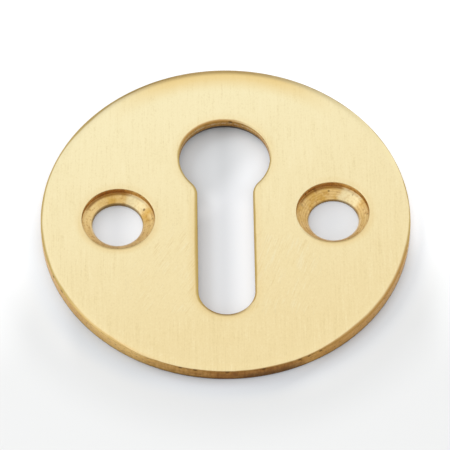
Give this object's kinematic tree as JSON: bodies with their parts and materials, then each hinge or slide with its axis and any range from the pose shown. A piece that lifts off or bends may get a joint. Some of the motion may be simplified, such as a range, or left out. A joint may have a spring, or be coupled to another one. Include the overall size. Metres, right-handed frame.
{
  "type": "keyhole escutcheon",
  "caption": "Round brass keyhole plate that covers and guards the keyhole of a drawer or cabinet door, held flat by countersunk wood screws",
  "frame": {"origin": "centre of the flat back of the plate, where it lies on the wood", "axes": "+Z is the outward normal of the face, away from the wood. +Y points from the plate's centre to the round head of the keyhole. +X points to the right screw hole as the face is looked at with the head upwards"},
  "size_m": [0.035, 0.035, 0.0015],
  "materials": {
    "brass_sheet": "pale yellow brass sheet, brushed along the keyhole on the face, sheared bare edges, unlacquered"
  },
  "bodies": {
    "root": {"escutcheon_plate": "brass_sheet"}
  },
  "joints": []
}
